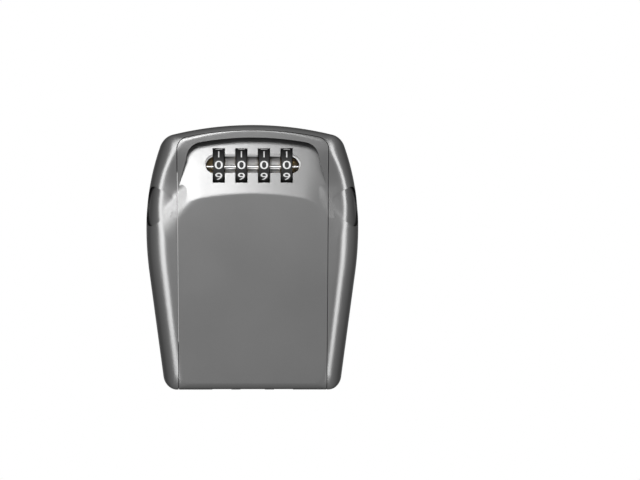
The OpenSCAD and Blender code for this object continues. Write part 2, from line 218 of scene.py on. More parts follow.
def cast_finish(name, level, roughness, peel, metallic):
    f = material(name)
    cloud = noise(f, CLOUD_WAVES)
    grain = noise(f, GRAIN_WAVES, 2.0)
    fine = noise(f, FINE_WAVES, 4.0)
    face = f.mix(0.35 * cloud + 0.3 * fine, grey(level * 0.93), grey(level * 1.08))
    # Painted shade: the base colour darkens where the surface turns away from the eye, in place of
    # dark reflections at the sides
    painted_edge_shade = f.node("ShaderNodeLayerWeight", {}, {"Blend": EDGE_SHADE_BLEND}, out="Facing")
    return f.set(
        base_color=f.mix(painted_edge_shade, face, grey(level * EDGE_SHADE_LEVEL)),
        roughness=roughness + 0.08 * (cloud - 0.5),
        metallic=metallic,
        specular_tint=grey(COAT_TINT),
        normal=bump(f, grain + 0.5 * fine, peel, PEEL_DEPTH),
    )


cast_body = cast_finish("satin_casting", 0.125, 0.33, 0.22, 1.0)
cast_door = cast_finish("inner_casting", 0.26, 0.46, 0.40, 0.9)
bare_alloy = cast_finish("bare_alloy", 0.62, 0.34, 0.30, 1.0)
print("casting finishes:", cast_body.name, cast_door.name, bare_alloy.name)

# %% [markdown]
# ## The metal and plastic finishes
#
# Steel and brass are drawn or rolled along their length, so their grain is
# noise stretched thin. The dials are moulded black plastic with a faint grain,
# and their digits are printed in pale paint.

# %% Metal and plastic finishes
STREAK_WAVES = 900.0
WORN_WAVES = 60.0
STREAK_DEPTH = 0.05 * MM
MOULD_WAVES = 1800.0
SMEAR_WAVES = 90.0
MOULD_DEPTH = 0.04 * MM


def drawn_metal(name, colour, roughness, stretch):
    f = material(name)
    streak = noise(f, STREAK_WAVES, 4.0, stretch)
    worn = noise(f, WORN_WAVES)
    dark = tuple(0.72 * c for c in colour[:3]) + (1.0,)
    return f.set(
        base_color=f.mix(0.6 * streak + 0.25 * worn, dark, colour),
        roughness=roughness + 0.2 * (streak - 0.5),
        metallic=1.0,
        normal=bump(f, streak, 0.15, STREAK_DEPTH),
    )


def moulded(name, level, roughness, sheen):
    f = material(name)
    grain = noise(f, MOULD_WAVES, 3.0)
    smear = noise(f, SMEAR_WAVES)
    return f.set(
        base_color=f.mix(0.5 * smear + 0.3 * grain, grey(level * 0.7), grey(level * 1.5)),
        roughness=roughness + 0.15 * (smear - 0.5),
        specular_ior_level=sheen,
        normal=bump(f, grain, 0.2, MOULD_DEPTH),
    )


steel = drawn_metal("drawn_steel", (0.62, 0.62, 0.63, 1.0), 0.28, (0.05, 1, 1))
cover_steel = drawn_metal("pressed_steel", (0.32, 0.32, 0.33, 1.0), 0.4, (1, 1, 0.06))
brass = drawn_metal("rolled_brass", (0.72, 0.52, 0.24, 1.0), 0.34, (1, 1, 0.1))
black_steel = drawn_metal("blackened_steel", (0.05, 0.05, 0.052, 1.0), 0.42, (1, 0.2, 1))
dial_black = moulded("dial_black", 0.008, 0.45, 0.18)
digit_paint = moulded("digit_paint", 0.36, 0.6, 0.2)
print("metals:", steel.name, cover_steel.name, brass.name, black_steel.name)
print("plastic and paint:", dial_black.name, digit_paint.name)

# %% [markdown]
# ## Finishes on the construction's own nodes
#
# The pins, the shaft, the hubs and the parts of the mechanism are shown as they
# were built, so each only needs its finish. The housing, the shell and the
# dials are replaced further down, and get theirs all the same.

# %% Finish for each node
node_finish = {
    "hinge_pin": steel, "dial_axle": steel, "lever_pivot": steel, "shell_catches": steel,
    "latch_bar": steel, "code_lever": steel, "mechanism_cover": cover_steel,
    "cover_screws": black_steel, "detent_leaf": brass, "lock_door": cast_door,
    "housing": cast_body, "front_shell": cast_body,
    **{f"code_hub_{i}": brass for i in range(1, DIAL_COUNT + 1)},
    **{f"dial_{i}": dial_black for i in range(1, DIAL_COUNT + 1)},
}
for name, finish in node_finish.items():
    mesh = nodes[name].data
    mesh.materials.clear()
    mesh.materials.append(finish)
print("finished", len(node_finish), "construction nodes")

# %% [markdown]
# ## Outlines made of arcs
#
# The casting's face and every opening in it are outlines of arcs. A fillet
# between two arcs is centred where two circles cross that are smaller than
# them by the fillet's radius.

# %% Arc, fillet and arch helpers
# Crowns stop just short of the middle, so that their mirror image repeats no point.
ARCH_END = 89.7
CROWN_END = 89.6


def arc(centre, radius, start, end, steps):
    turns = [math.radians(start + (end - start) * i / steps) for i in range(steps + 1)]
    return [(centre[0] + radius * math.cos(a), centre[1] + radius * math.sin(a)) for a in turns]


def crossing(centre_a, radius_a, centre_b, radius_b):
    a, b = Vector(centre_a), Vector(centre_b)
    span = (b - a).length
    along = (span * span + radius_a**2 - radius_b**2) / (2 * span)
    across = math.sqrt(radius_a**2 - along**2)
    unit = (b - a) / span
    return a + along * unit + across * Vector((-unit.y, unit.x))


def mirrored(right):
    return right + [(-x, z) for x, z in reversed(right)]


def arch(foot_half, top_half, foot, top, crown, corner, steps=24):
    """A door-like outline: flat foot, leaning sides, round corners, crowned top."""
    centre = top - crown
    x = top_half - corner
    z = centre + math.sqrt((crown - corner) ** 2 - x * x)
    turn = math.degrees(math.atan2(z - centre, x))
    return mirrored(
        [(foot_half, foot)]
        + arc((x, z), corner, 0, turn, steps)
        + arc((0, centre), crown, turn, ARCH_END, steps)[1:]
    )


print("an arch has", len(arch(30 * MM, 30 * MM, 0, 60 * MM, 160 * MM, 6 * MM)), "points")

# %% [markdown]
# ## The shield
#
# The right half is worked out from the foot up and then mirrored: a small round
# foot, a straight leaning side, two large arcs that bow out, a round shoulder
# and the crown.

# %% Outline of the castings
CROWN_R = 165 * MM
SHOULDER_R = 9 * MM
SIDE_UPPER_R = 120 * MM
SIDE_LOWER_R = 166 * MM
SIDE_LEAN = 7.7
FOOT_R = 7 * MM
WIDEST_Z = 14.8 * MM


def body_outline(steps=22):
    """The shield's right side and its mirror image, from the foot up."""
    crown = (0, TOP - CROWN_R)
    upper = (HALF_W - SIDE_UPPER_R, WIDEST_Z)
    lower = (HALF_W - SIDE_LOWER_R, WIDEST_Z)
    shoulder = crossing(upper, SIDE_UPPER_R - SHOULDER_R, crown, CROWN_R - SHOULDER_R)
    turn_in = math.degrees(math.atan2(shoulder.y - upper[1], shoulder.x - upper[0]))
    turn_out = math.degrees(math.atan2(shoulder.y - crown[1], shoulder.x - crown[0]))
    lean = Vector((math.cos(math.radians(SIDE_LEAN)), -math.sin(math.radians(SIDE_LEAN))))
    reach = (Vector(lower) + SIDE_LOWER_R * lean).dot(lean) - FOOT_R
    foot_z = FOOT_R - TOP
    foot = ((reach - lean.y * foot_z) / lean.x, foot_z)
    side_foot = Vector(foot) + FOOT_R * lean
    side_head = Vector(lower) + SIDE_LOWER_R * lean
    straight = [tuple(side_foot.lerp(side_head, i / steps)) for i in range(1, steps)]
    return mirrored(
        arc(foot, FOOT_R, -90, -SIDE_LEAN, steps)
        + straight
        + arc(lower, SIDE_LOWER_R, -SIDE_LEAN, 0, steps)
        + arc(upper, SIDE_UPPER_R, 0, turn_in, steps)[1:]
        + arc(shoulder, SHOULDER_R, turn_in, turn_out, steps)[1:]
        + arc(crown, CROWN_R, turn_out, CROWN_END, steps)[1:]
    )


print("shield outline has", len(body_outline()), "points")

# %% [markdown]
# ## The scoop and the soft relief
#
# The flat panel is an arch with soft corners. Above and beside it the surface
# falls away at one slope, and the further a point lies outside the arch, the
# deeper it lies. A signed distance to the arch gives that depth anywhere, so
# the scoop and the cheeks meet without a seam. On the cheeks the relief fades
# out towards the middle, the foot and the top.

# %% Depth behind the front plane
PANEL_TOP = 31.4 * MM
PANEL_HALF = 37.4 * MM
PANEL_CORNER = 16 * MM
PANEL_CROWN = 141 * MM
SCOOP_LEAN = math.radians(12.6)
SLOPE = math.tan(SCOOP_LEAN)
EDGE_SOFTNESS = 1.0 * MM
CORNER_X = PANEL_HALF - PANEL_CORNER
CORNER_Z = PANEL_TOP - PANEL_CROWN + math.sqrt((PANEL_CROWN - PANEL_CORNER) ** 2 - CORNER_X**2)
CHEEK_REACH = 8 * MM
RELIEF_ACROSS = (22 * MM, 37 * MM)
RELIEF_RISE = (CORNER_Z - 6 * MM, 30 * MM)
RELIEF_FADE = (34 * MM, 54 * MM)


def outside_panel(x, z):
    """Signed distance from the flat panel's arch, negative on the panel."""
    x = abs(x)
    crown = math.hypot(x, z - (PANEL_TOP - PANEL_CROWN)) - PANEL_CROWN
    turn = math.atan2(z - CORNER_Z, x - CORNER_X)
    crown_turn = math.atan2(CORNER_Z - (PANEL_TOP - PANEL_CROWN), CORNER_X)
    if x > CORNER_X and z > CORNER_Z and turn < crown_turn:
        return math.hypot(x - CORNER_X, z - CORNER_Z) - PANEL_CORNER
    if z <= CORNER_Z:
        return max(x - PANEL_HALF, -2 * EDGE_SOFTNESS)
    return crown


def softened(distance):
    """A slope that eases in over the edge's softness."""
    if distance >= EDGE_SOFTNESS:
        return SLOPE * distance
    if distance <= -EDGE_SOFTNESS:
        return 0.0
    return SLOPE * (distance + EDGE_SOFTNESS) ** 2 / (4 * EDGE_SOFTNESS)


def ease(value, low, high):
    """Goes smoothly from nought at low to one at high."""
    t = min(max((value - low) / (high - low), 0.0), 1.0)
    return t * t * (3 - 2 * t)


def cheek_relief(x, z):
    """How far the surface beside the scoop lies behind the front plane."""
    depth = softened(min(outside_panel(x, z), CHEEK_REACH))
    shown = depth * ease(abs(x), *RELIEF_ACROSS)
    return shown * ease(z, *RELIEF_RISE) * (1 - ease(z, *RELIEF_FADE))


print("relief beside the scoop, mm:", round(cheek_relief(37 * MM, 40 * MM) / MM, 2))

# %% [markdown]
# ## Closed solids
#
# A casting is easiest to make as a machinist would: start from the full form
# and cut. The form and the plain cutters are stacks of rings, joined by faces
# into closed solids.

# %% Rings joined into solids
WELD = 0.0001 * MM
collection = bpy.context.scene.collection


def solid(name, vertices, faces):
    mesh = bpy.data.meshes.new(name)
    mesh.from_pydata([tuple(v) for v in vertices], [], faces)
    work = bmesh.new()
    work.from_mesh(mesh)
    bmesh.ops.remove_doubles(work, verts=work.verts, dist=WELD)
    bmesh.ops.recalc_face_normals(work, faces=work.faces)
    work.to_mesh(mesh)
    work.free()
    made = bpy.data.objects.new(name, mesh)
    collection.objects.link(made)
    return made


def loft(name, rings, looped=False):
    """Joins rings of as many points into one closed solid."""
    count = len(rings[0])
    vertices = [p for ring in rings for p in ring]
    last = (len(rings) - 1) * count
    faces = [] if looped else [list(range(count)), [last + i for i in range(count)]]
    for k in range(len(rings) if looped else len(rings) - 1):
        low, high = k * count, (k + 1) % len(rings) * count
        for i in range(count):
            j = (i + 1) % count
            faces.append([low + i, low + j, high + j, high + i])
    return solid(name, vertices, faces)


def plate(name, outline, front, back):
    return loft(name, [[(x, y, z) for x, z in outline] for y in (back, front)])


def block(name, x, y, z):
    return plate(name, [(x[1], z[0]), (x[1], z[1]), (x[0], z[1]), (x[0], z[0])], y[0], y[1])


def lathe_x(name, centre, profile, steps=96, bored=False):
    """Turns (along X, radius) points about an X axis; bored closes the profile."""
    turns = [2 * math.pi * i / steps for i in range(steps)]
    rings = []
    for along, radius in profile:
        spokes = [Vector((along, radius * math.cos(a), radius * math.sin(a))) for a in turns]
        rings.append([centre + spoke for spoke in spokes])
    return loft(name, rings, bored)


print("plates, blocks and lathed solids ready")

# %% [markdown]
# ## Exact cuts
#
# Each cut takes one plain solid away from another with an exact boolean, so
# its edges stay crisp. The same tool joins a knuckle to a casting, or keeps
# only what two solids share.

# %% Booleans
def evaluated_mesh(made):
    """A new mesh of an object, with its modifiers applied."""
    bpy.context.view_layer.update()
    graph = bpy.context.evaluated_depsgraph_get()
    return bpy.data.meshes.new_from_object(made.evaluated_get(graph))


def combine(target, tool, operation="DIFFERENCE"):
    """Cuts, joins or intersects with an exact boolean, and drops the tool."""
    change = target.modifiers.new("cut", "BOOLEAN")
    change.operation = operation
    change.solver = "EXACT"
    change.object = tool
    result = evaluated_mesh(target)
    target.modifiers.clear()
    old = target.data
    target.data = result
    bpy.data.meshes.remove(old)
    mesh = tool.data
    bpy.data.objects.remove(tool)
    bpy.data.meshes.remove(mesh)


print("exact booleans ready")

# %% [markdown]
# ## Hollows with a shaped floor
#
# The scoop and the space behind it have floors given by a formula. A grid of
# points follows the formula, a second grid closes the solid behind it, and an
# outline trims both.

# %% Solid under a depth function
KEEP_MARGIN = 9 * MM


def relief_solid(name, outline, front, back, step):
    """The space inside an outline, between a depth function and a back level."""
    low_x, high_x = min(p[0] for p in outline) - step, max(p[0] for p in outline) + step
    low_z, high_z = min(p[1] for p in outline) - step, max(p[1] for p in outline) + step
    columns = int((high_x - low_x) / step) + 1
    rows = int((high_z - low_z) / step) + 1
    xs = [low_x + (high_x - low_x) * i / (columns - 1) for i in range(columns)]
    zs = [low_z + (high_z - low_z) * i / (rows - 1) for i in range(rows)]
    vertices = [(x, front(x, z), z) for z in zs for x in xs]
    vertices += [(x, back, z) for z in zs for x in xs]
    size = columns * rows
    faces = []
    for r in range(rows - 1):
        for c in range(columns - 1):
            a = r * columns + c
            square = [a, a + 1, a + columns + 1, a + columns]
            faces.append(square)
            faces.append([size + square[k] for k in (0, 3, 2, 1)])
    rim = list(range(columns))
    rim += [r * columns + columns - 1 for r in range(1, rows)]
    rim += [(rows - 1) * columns + c for c in range(columns - 2, -1, -1)]
    rim += [r * columns for r in range(rows - 2, 0, -1)]
    for i, a in enumerate(rim):
        b = rim[(i + 1) % len(rim)]
        faces.append([a, size + a, size + b, b])
    made = solid(name, vertices, faces)
    near, far = min(back, FRONT) - KEEP_MARGIN, max(back, 0) + KEEP_MARGIN
    combine(made, plate(name + "_keep", outline, near, far), "INTERSECT")
    return made


print("shaped hollows ready")

# %% [markdown]
# ## Dressing a piece
#
# A finished piece rides on the moving body it belongs to and takes a finish.
# Round faces are shaded smooth, edges sharper than 30 degrees stay crisp, and
# weighted normals keep large flat faces even.

# %% Ride, finish and shading
SHARP_EDGE = math.radians(30)


def dress(piece, body, finish):
    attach(piece, body)
    piece.data.materials.clear()
    piece.data.materials.append(finish)
    piece.data.shade_smooth()
    piece.data.set_sharp_from_angle(angle=SHARP_EDGE)
    keep = piece.modifiers.new("even_shading", "WEIGHTED_NORMAL")
    keep.keep_sharp = True


print("pieces can be dressed")

# %% [markdown]
# ## The full form
#
# The sides stand upright at the wall and round over into the front. The
# rounding is deeper and wider on the sides than at the crown and the foot, so
# it is an ellipse whose depth depends on which way the outline runs. The front
# itself is closed by ever smaller rings that follow the relief.

# %% Rounded shield
CHEEK_W = 11 * MM
CHEEK_D = 16 * MM
RIM_H = 3.5 * MM
RIM_D = 5 * MM
ROUND_STEPS = 20
FACE_RINGS = 60
BLEND = 1.2


def blended(depth, relief):
    """The rounding or the relief, whichever is deeper, with a soft change."""
    return 0.5 * (depth + relief + math.hypot(depth - relief, BLEND * relief))


def sideways(outline):
    """How far the outline runs up and down at each point, from nought to one."""
    count = len(outline)
    shares = []
    for i in range(count):
        ahead, behind = outline[(i + 1) % count], outline[i - 1]
        run = Vector((ahead[0] - behind[0], ahead[1] - behind[1])).normalized()
        shares.append(run.y**2)
    return shares


def outer_form(name):
    """The shield with upright sides, rounded over into a relieved front."""
    outline = body_outline()
    shares = sideways(outline)
    rings = [[(x, 0.0, z) for x, z in outline]]
    for k in range(ROUND_STEPS + 1):
        a = math.radians(90 * k / ROUND_STEPS)
        inset = 1 - math.cos(a)
        ring = []
        for (x, z), share in zip(outline, shares):
            depth = (RIM_D + (CHEEK_D - RIM_D) * share) * (1 - math.sin(a))
            px = x * (1 - inset * CHEEK_W / HALF_W)
            pz = z * (1 - inset * RIM_H / TOP)
            ring.append((px, FRONT + blended(depth, cheek_relief(px, pz)), pz))
        rings.append(ring)
    edge = rings[-1]
    for k in range(1, FACE_RINGS):
        size = 1 - k / FACE_RINGS
        inner = [(x * size, z * size) for x, _, z in edge]
        rings.append([(x, FRONT + blended(0, cheek_relief(x, z)), z) for x, z in inner])
    return loft(name, rings)


print("the form's outline has", len(sideways(body_outline())), "points")

# %% [markdown]
# ## Cutters that the castings share
#
# The scoop's floor falls away from the panel at one slope and is kept inside an
# arch of its own. Behind it, the shell's hollow follows a very large cylinder
# that leans at the same angle. The four dials stand in narrow slots, and a
# round trough runs across them.

# %% Scoop, trough and dial slots
# An arch is given by half its width at the foot and at the top, the heights of
# its foot and its top, and the radii of its crown and its corners.
SCOOP_TOP = 58.6 * MM
SCOOP_ARCH = (40.5 * MM, 32.5 * MM, 19.4 * MM, SCOOP_TOP, 145 * MM, 8 * MM)
SHELL_ARCH = (36.1 * MM, 37 * MM, -TOP, 62 * MM, 160 * MM, 6 * MM)
SCOOP_R = 620 * MM
SCOOP_STEP = 0.7 * MM
PANEL_CLEAR = 0.02 * MM
TROUGH_R = 7.9 * MM
TROUGH_HALF = 18.4 * MM
SLOT_ROOM = 0.3 * MM
POLE = 0.6
CAP_STEPS = 24


def scoop_depth(x, z):
    """Depth of the leaning cylinder behind the front plane."""
    dip = SCOOP_R - math.sqrt(SCOOP_R**2 - x * x)
    return (z - PANEL_TOP) * math.tan(SCOOP_LEAN) + dip / math.cos(SCOOP_LEAN)


def scoop_cutter(name):
    """The scoop's space, which stands just clear of the flat panel."""

    def floor(x, z):
        return FRONT + (softened(outside_panel(x, z)) - PANEL_CLEAR)

    return relief_solid(name, arch(*SCOOP_ARCH), floor, FRONT - 3 * MM, SCOOP_STEP)


def capsule(name, centre, radius, half):
    """A round-ended bar along X."""
    turns = [math.radians(POLE + (90 - POLE) * i / CAP_STEPS) for i in range(CAP_STEPS + 1)]
    profile = [(-half - radius * math.cos(a), radius * math.sin(a)) for a in turns]
    profile += [(-x, r) for x, r in reversed(profile)]
    return lathe_x(name, Vector(centre), profile)


def trough_cutter(name, gap=0.0):
    return capsule(name, (0, SHAFT.y, SHAFT.z), TROUGH_R - gap, TROUGH_HALF)


def slot_cutter(name, i):
    half = DIAL_W / 2 + SLOT_ROOM
    radius = DIAL_R + 2 * SLOT_ROOM
    place = Vector((dial_x[i], SHAFT.y, SHAFT.z))
    return lathe_x(name, place, [(-half, radius), (half, radius)])


print("cylinder's depth at the arc's top, mm:", round(scoop_depth(0, SCOOP_TOP) / MM, 1))

# %% [markdown]
# ## The housing casting
#
# The body is one die casting: a shield with a deep recess for the two doors,
# a space for the keys behind them, and a hood that carries the scoop's arc.

# %% Housing casting
SHELL_GAP = 0.35 * MM
LEDGE = FRONT + 21.6 * MM
BACK_WALL = -3 * MM
RECESS_FOOT = -57.7 * MM
NOTCH_HALF = 36.45 * MM
NOTCH_BACK = -32.4 * MM
NOTCH_Z = (-66 * MM, -56.7 * MM)
KEY_HALF = 32.3 * MM
KEY_ARCH = (KEY_HALF, KEY_HALF, RECESS_FOOT, 57.5 * MM, 165 * MM, 5 * MM)


def grown(shape, gap, foot):
    foot_half, top_half, _, top, crown, corner = shape
    return arch(foot_half + gap, top_half + gap, foot, top + gap, crown, corner + gap)


housing_casting = outer_form("housing_casting")
combine(housing_casting, scoop_cutter("scoop_tool"))
recess = grown(SHELL_ARCH, SHELL_GAP, RECESS_FOOT)
combine(housing_casting, plate("recess_tool", recess, FRONT - MM, LEDGE))
notch = block("notch_tool", (-NOTCH_HALF, NOTCH_HALF), (FRONT - MM, NOTCH_BACK), NOTCH_Z)
combine(housing_casting, notch)
combine(housing_casting, plate("key_space_tool", arch(*KEY_ARCH), LEDGE - MM, BACK_WALL))
print("housing casting has", len(housing_casting.data.polygons), "faces")

# %% [markdown]
# ## Hollow cheeks and wall holes
#
# A casting keeps its walls even, so the cheeks are hollow behind. Four screws
# through the back wall hold the box up.

# %% Cheek hollows and wall holes
HOLLOW_X = (35.3 * MM, 44 * MM)
HOLLOW_FRONT = -34 * MM
HOLLOW_HALF_H = 43 * MM
HOLE_X = 28 * MM
HOLE_Z = (48.2 * MM, -39.8 * MM)
HOLE_R = 2.25 * MM
HOLE_STEPS = 48

for side in (-1, 1):
    across = sorted(side * x for x in HOLLOW_X)
    up = (-HOLLOW_HALF_H, HOLLOW_HALF_H)
    combine(housing_casting, block("cheek_tool", across, (HOLLOW_FRONT, MM), up))
turns = [2 * math.pi * i / HOLE_STEPS for i in range(HOLE_STEPS)]
for x in (-HOLE_X, HOLE_X):
    for z in HOLE_Z:
        ring = [(x + HOLE_R * math.cos(a), z + HOLE_R * math.sin(a)) for a in turns]
        combine(housing_casting, plate("wall_hole_tool", ring, 2 * BACK_WALL, MM))
print("hollow cheeks: 2, wall holes:", 2 * len(HOLE_Z))

# %% [markdown]
# ## Finger recesses
#
# A round mark on each cheek gives the fingers a hold. It is cut by a short
# cylinder that leans into the cheek. The form itself, drawn in a little, is
# taken away from that cylinder first, so the recess's floor follows the cheek.

# %% Finger recesses
GRIP_R = 9.75 * MM
GRIP_HALF = 9 * MM
GRIP_X = 49.8 * MM
GRIP_Y = FRONT + 6.4 * MM
GRIP_Z = 25 * MM
GRIP_TURN = 30
GRIP_SINK = 0.5 * MM
GRIP_CORE = (0.984, 1, 0.985, 1)

for side in (-1, 1):
    grip = lathe_x("grip_tool", Vector(), [(-GRIP_HALF, GRIP_R), (GRIP_HALF, GRIP_R)])
    turn = math.radians(180 + GRIP_TURN if side < 0 else -GRIP_TURN)
    place = Matrix.Translation((side * GRIP_X, GRIP_Y, GRIP_Z))
    grip.data.transform(place @ Matrix.Rotation(turn, 4, "Z"))
    core = outer_form("core_tool")
    core.data.transform(Matrix.Translation((0, GRIP_SINK, 0)) @ Matrix.Diagonal(GRIP_CORE))
    combine(grip, core)
    combine(housing_casting, grip)
print("finger recess radius, mm:", round(GRIP_R / MM, 2))

# %% [markdown]
# ## Keeper tab and hinge knuckles
#
# The latch hooks behind a tab that hangs from the hood. At the foot three
# knuckles stand forward on arms, and the hinge pin passes through them.

# %% Keeper tab and hinge knuckles
PIN = joint_at["lock_door_hinge"]
PIN_R = 1.5 * MM
KNUCKLE_R = 3.2 * MM
TAB_HALF = 15.5 * MM
TAB_TIP_HALF = 13.5 * MM
TAB_TOP = 59.5 * MM
TAB_SIDE_FOOT = 47 * MM
TAB_TIP = 45 * MM
TAB_FRONT = -24.15 * MM
TAB_BACK = -21.95 * MM
ARM_FRONT = -41.5 * MM
ARM_DROP_BACK = -36.9 * MM
ARM_ROOT = LEDGE + 0.4 * MM
ARM_ROOT_FOOT = -58.7 * MM
ARM_FOOT = -56.3 * MM
ARM_TOP = -53.6 * MM
HOUSING_KNUCKLES_MM = ((-19.4, -10.8), (-5.6, 5.6), (10.8, 19.4))


def knuckle(target, x, webs, bore):
    """Joins a bored hinge knuckle and its webs to a casting."""
    centre = Vector((0, PIN.y, PIN.z))
    for y, z in webs:
        combine(target, block("web_tool", x, y, z), "UNION")
    barrel = [(x[0], KNUCKLE_R), (x[1], KNUCKLE_R)]
    combine(target, lathe_x("barrel_tool", centre, barrel), "UNION")
    through = [(x[0] - MM, bore), (x[1] + MM, bore)]
    combine(target, lathe_x("bore_tool", centre, through, 48))


tab = [(-TAB_HALF, TAB_TOP), (-TAB_HALF, TAB_SIDE_FOOT), (-TAB_TIP_HALF, TAB_TIP),
       (TAB_TIP_HALF, TAB_TIP), (TAB_HALF, TAB_SIDE_FOOT), (TAB_HALF, TAB_TOP)]
combine(housing_casting, plate("keeper_tool", tab, TAB_FRONT, TAB_BACK), "UNION")
housing_webs = [
    ((ARM_FRONT, ARM_ROOT), (ARM_FOOT, ARM_TOP)),
    ((NOTCH_BACK, ARM_ROOT), (ARM_ROOT_FOOT, ARM_TOP)),
    ((ARM_FRONT, ARM_DROP_BACK), (PIN.z, ARM_TOP)),
]
for low, high in HOUSING_KNUCKLES_MM:
    knuckle(housing_casting, (low * MM, high * MM), housing_webs, PIN_R)
dress(housing_casting, "housing", cast_body)
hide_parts("housing")
print("housing casting finished with", len(housing_casting.data.polygons), "faces")

# %% [markdown]
# ## The front shell casting
#
# The shell is a slice of the same shield, so its scoop and its crowned top run
# on from the housing's without a step. It is hollow behind, slotted for the
# dials, and its lower edge turns on the hinge pin.

# %% Front shell casting
WALL = 2 * MM
FRONT_WALL = 3 * MM
SHELL_DEPTH = 13 * MM
SHELL_HOLLOW = (34.1 * MM, 35 * MM, -63.8 * MM, 60.2 * MM, 160 * MM, 4.2 * MM)
SHELL_HOLLOW_DEPTH = 14 * MM
SHELL_HOLLOW_STEP = 1.5 * MM


def shell_floor(x, z):
    """The hollow's front, which keeps a wall behind the panel, scoop and relief."""
    behind_scoop = scoop_depth(x, z) + WALL / math.cos(SCOOP_LEAN)
    return FRONT + max(FRONT_WALL, behind_scoop, cheek_relief(x, z) + WALL)


front_shell_casting = outer_form("front_shell_casting")
slice_tool = plate("shell_tool", arch(*SHELL_ARCH), FRONT - MM, FRONT + SHELL_DEPTH)
combine(front_shell_casting, slice_tool, "INTERSECT")
combine(front_shell_casting, scoop_cutter("scoop_tool"))
back = FRONT + SHELL_HOLLOW_DEPTH
hollow_tool = relief_solid(
    "hollow_tool", arch(*SHELL_HOLLOW), shell_floor, back, SHELL_HOLLOW_STEP
)
combine(front_shell_casting, hollow_tool)
print("front shell casting has", len(front_shell_casting.data.polygons), "faces")

# %% [markdown]
# ## Openings and knuckles of the shell
#
# The foot is cut free behind the hinge pin and makes room for the housing's
# knuckles. Each dial gets a slot whose lower end is straight, and the trough
# is cut across all four.

# %% Foot, dial slots and shell knuckles
SILL_FOOT = 36.5 * MM
SILL_BACK = -38 * MM
PIN_SLACK = 0.05 * MM
SHELL_ROOMS_MM = ((-19.8, -10.4), (-6.0, 6.0), (10.4, 19.8))
SHELL_KNUCKLES_MM = ((-33.2, -27.0), (27.0, 33.2))
SHELL_WEBS = [((FRONT + 2.5 * MM, PIN.y), (PIN.z, PIN.z + 2 * MM))]

below = (-TOP - MM, PIN.z + MM)
combine(front_shell_casting, block("foot_tool", (-HALF_W, HALF_W), (PIN.y, 0), below))
for low, high in SHELL_ROOMS_MM:
    behind, below = (FRONT + FRONT_WALL, 0), (-TOP - MM, PIN.z)
    combine(front_shell_casting, block("room_tool", (low * MM, high * MM), behind, below))
for i in range(DIAL_COUNT):
    combine(front_shell_casting, slot_cutter("slot_tool", i))
    side = DIAL_W / 2 + SLOT_ROOM
    across = (dial_x[i] - side, dial_x[i] + side)
    sill = block("sill_tool", across, (FRONT - MM, SILL_BACK), (SILL_FOOT, SHAFT.z))
    combine(front_shell_casting, sill)
combine(front_shell_casting, trough_cutter("trough_tool"))
for low, high in SHELL_KNUCKLES_MM:
    knuckle(front_shell_casting, (low * MM, high * MM), SHELL_WEBS, PIN_R + PIN_SLACK)
dress(front_shell_casting, "front_shell", cast_body)
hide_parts("front_shell")
print("front shell finished with", len(front_shell_casting.data.polygons), "faces")

# %% [markdown]
# ## The trough's liner
#
# Between the dials a bright round groove shows. It belongs to the lock door
# behind the shell, so the liner rides on that door and stays with it when the
# shell opens.

# %% Trough liner
LINER_GAP = 0.05 * MM
GROOVE = Vector((0, SHAFT.y - 2.8 * MM, SHAFT.z + 0.5 * MM))
GROOVE_R = 4.6 * MM
LINER_MOUTH = (30 * MM, 60 * MM)

trough_liner = trough_cutter("trough_liner", LINER_GAP)
combine(trough_liner, capsule("groove_tool", GROOVE, GROOVE_R, TROUGH_HALF))
mouth = block("mouth_tool", (-HALF_W, HALF_W), (FRONT, GROOVE.y), LINER_MOUTH)
combine(trough_liner, mouth)
for i in range(DIAL_COUNT):
    combine(trough_liner, slot_cutter("slot_tool", i))
dress(trough_liner, "lock_door", bare_alloy)
print("trough liner has", len(trough_liner.data.polygons), "faces")

# %% [markdown]
# ## Digits
#
# The digits come from the built-in font, as thin solids. They are sliced into
# narrow strips and wrapped around the dial's rim, with the nought at the front
# and the count rising upwards. The one keeps its natural width, and the nought
# is a little wider than the rest.

# %% Wrapped digits
DIGIT_R = DIAL_R - 0.09 * MM
DIGIT_HALF_T = 0.06 * MM
DIGIT_H = 4.0 * MM
DIGIT_W = 3.4 * MM
ZERO_W = 3.9 * MM
FONT_SIZE = 5.6 * MM
DIGIT_START = 4.2
DIGIT_TURN = 36
STRIP_H = 0.3 * MM
STRIP_CUTS = 6


def glyph(text):
    """A digit as a thin upright solid, centred, in (across, up, out)."""
    curve = bpy.data.curves.new("glyph", "FONT")
    curve.body = text
    curve.size = FONT_SIZE
    curve.extrude = DIGIT_HALF_T
    shape = bpy.data.objects.new("glyph", curve)
    collection.objects.link(shape)
    mesh = evaluated_mesh(shape)
    bpy.data.objects.remove(shape)
    bpy.data.curves.remove(curve)
    xs = [v.co.x for v in mesh.vertices]
    ys = [v.co.y for v in mesh.vertices]
    tall = DIGIT_H / (max(ys) - min(ys))
    wide = (ZERO_W if text == "0" else DIGIT_W) / (max(xs) - min(xs))
    if text == "1":
        wide = tall
    centre = Vector(((max(xs) + min(xs)) / 2, (max(ys) + min(ys)) / 2, 0))
    mesh.transform(Matrix.Diagonal((wide, tall, 1, 1)) @ Matrix.Translation(-centre))
    return mesh


